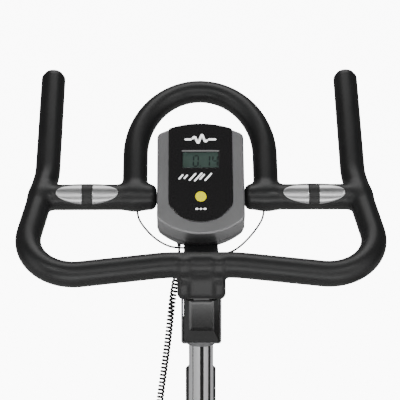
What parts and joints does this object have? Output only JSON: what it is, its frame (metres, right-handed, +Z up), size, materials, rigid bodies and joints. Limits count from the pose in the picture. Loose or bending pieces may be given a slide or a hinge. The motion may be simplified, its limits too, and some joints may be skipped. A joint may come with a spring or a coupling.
{
  "type": "exercise bike handlebar and console assembly",
  "caption": "Padded looped exercise-bike handlebar with inner arch, hand-pulse bars, sloping console, clamped fore-aft slider and chrome height post",
  "frame": {"origin": "centre of the height post's lower end", "axes": "+Z up along the post, +X to the rider's right, +Y forwards, away from the rider"},
  "size_m": [0.471, 0.2994, 0.645],
  "materials": {
    "chrome_post": "polished",
    "silver_paint": "satin silver",
    "liner_plastic": "matt",
    "pad_brass": "machined",
    "zinc_steel": "zinc plated",
    "knob_plastic": "fine grain",
    "black_paint": "semi-gloss",
    "gloss_plug": "gloss",
    "bare_steel": "bare tube",
    "skin_pu": "smooth moulded skin",
    "housing_plastic": "fine grain",
    "sensor_steel": "brushed",
    "silver_plastic": "painted silver",
    "panel_gloss": "gloss",
    "lcd_clear": "clear",
    "lcd_cell": "grey-green cell",
    "board": "circuit board",
    "switch_black": "moulded",
    "button_yellow": "soft gloss",
    "cell_wrap": "wrapped cell",
    "neck_grey": "moulded",
    "cord_black": "cord jacket"
  },
  "bodies": {
    "post": {"post_tube": "chrome_post", "post_collar": "silver_paint", "slider_sleeve": "silver_paint", "sleeve_liner": "liner_plastic", "clamp_nut": "silver_paint"},
    "clamp_pad": {"clamp_pad": "pad_brass"},
    "clamp_knob": {"knob_grip": "knob_plastic", "knob_stud": "zinc_steel", "knob_cap": "knob_plastic"},
    "handlebar": {"console_screws": "zinc_steel", "neck_screws": "zinc_steel", "slider_tube": "black_paint", "bracket_core": "black_paint", "slider_rear_plug": "gloss_plug", "slider_front_plug": "gloss_plug", "bar_main_tube": "bare_steel", "bar_arch_tube": "bare_steel", "crossbar_tube_left": "bare_steel", "crossbar_tube_right": "bare_steel", "skin_lower_bar": "skin_pu", "skin_side_left": "skin_pu", "skin_side_right": "skin_pu", "skin_arch": "skin_pu", "skin_crossbar_left": "skin_pu", "skin_crossbar_right": "skin_pu", "skin_bracket": "skin_pu", "pulse_housing_left": "housing_plastic", "pulse_housing_right": "housing_plastic", "pulse_plates_left": "sensor_steel", "pulse_plates_right": "sensor_steel", "console_bezel": "silver_plastic", "console_rear_shell": "silver_plastic", "console_panel": "panel_gloss", "lcd_window": "lcd_clear", "lcd_module": "lcd_cell", "pcb": "board", "button_switch": "switch_black", "battery_cradle": "switch_black", "jack_socket": "switch_black", "wire_grommets": "switch_black", "batteries": "cell_wrap", "console_neck": "neck_grey", "pulse_wire_left": "cord_black", "pulse_wire_right": "cord_black", "sensor_cord_lead": "cord_black", "sensor_cord_coil": "cord_black", "sensor_cord_tail": "cord_black", "sensor_cord_plug": "cord_black", "sensor_top_plug": "cord_black"},
    "mode_button": {"mode_button": "button_yellow"},
    "battery_door": {"battery_door": "silver_plastic"}
  },
  "joints": [
    {"name": "fore_aft", "type": "slide", "parent": "post", "child": "handlebar", "axis": [0, 1, 0], "range_m": [-0.06, 0.04]},
    {"name": "clamp_slide", "type": "slide", "parent": "post", "child": "clamp_pad", "axis": [0, 0, 1], "range_m": [-0.003, 0]},
    {"name": "knob_turn", "type": "hinge", "parent": "clamp_pad", "child": "clamp_knob", "pos_m": [0, 0.038, 0.3], "axis": [0, 0, 1], "range_deg": [-600, 0]},
    {"name": "button_press", "type": "slide", "parent": "handlebar", "child": "mode_button", "axis": [0, 0.7604, -0.6494], "range_m": [0, 0.0008], "stiffness_N_per_m": 1500},
    {"name": "battery_door_slide", "type": "slide", "parent": "handlebar", "child": "battery_door", "axis": [0, 0.7604, -0.6494], "range_m": [0, 0.03]}
  ],
  "couplings": [
    {"joint": "clamp_slide", "follows": "knob_turn", "m_per_rad": 0.00027852}
  ]
}
